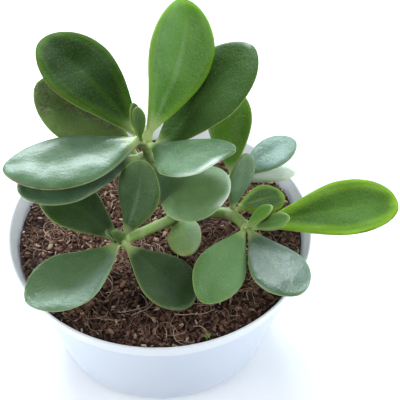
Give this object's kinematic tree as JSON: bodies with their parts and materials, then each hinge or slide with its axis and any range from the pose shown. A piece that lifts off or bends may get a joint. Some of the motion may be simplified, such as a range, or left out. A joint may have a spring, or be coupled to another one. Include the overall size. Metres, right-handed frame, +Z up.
{
  "type": "potted jade plant",
  "caption": "Young jade plant with thick glossy obovate leaves in opposite pairs on short green stems, rooted in coir soil in a shallow white tapered plastic bowl pot.",
  "frame": {"origin": "centre of the pot's flat bottom, where it stands on a table", "axes": "+Z up out of the pot, -Y towards the front of the plant, +X to the right seen from the front"},
  "size_m": [0.1904, 0.15, 0.1676],
  "materials": {
    "pot": "smooth satin white with a faint blue cast",
    "soil": "loose dark brown coir chips and tan fibres",
    "stem": "smooth fleshy pale green with scarred joints",
    "leaf": "waxy deep green with paler margins",
    "young_leaf": "waxy fresh green",
    "sprout": "thin fresh yellow green"
  },
  "bodies": {
    "root": {"pot": "pot", "soil": "soil", "main_stem": "stem", "left_branch": "stem", "right_branch": "stem", "rear_branch": "stem", "crown_back_leaf": "leaf", "crown_left_up_leaf": "leaf", "crown_right_up_leaf": "leaf", "crown_left_leaf": "leaf", "crown_left_low_leaf": "leaf", "crown_back_low_leaf": "leaf", "crown_right_leaf": "leaf", "crown_right_low_leaf": "leaf", "left_up_leaf": "leaf", "left_back_leaf": "leaf", "left_front_leaf": "leaf", "left_right_leaf": "leaf", "stem_leaf": "leaf", "right_front_leaf": "leaf", "right_side_leaf": "leaf", "right_long_leaf": "leaf", "right_back_leaf": "leaf", "right_up_leaf": "leaf", "rear_up_leaf": "leaf", "rear_side_up_leaf": "leaf", "rear_side_leaf": "leaf", "crown_bud_right_leaf": "young_leaf", "crown_bud_left_leaf": "young_leaf", "left_bud_back_leaf": "young_leaf", "left_bud_front_leaf": "young_leaf", "right_young_back_leaf": "young_leaf", "right_young_front_leaf": "young_leaf", "weed_sprout": "sprout"}
  },
  "joints": []
}
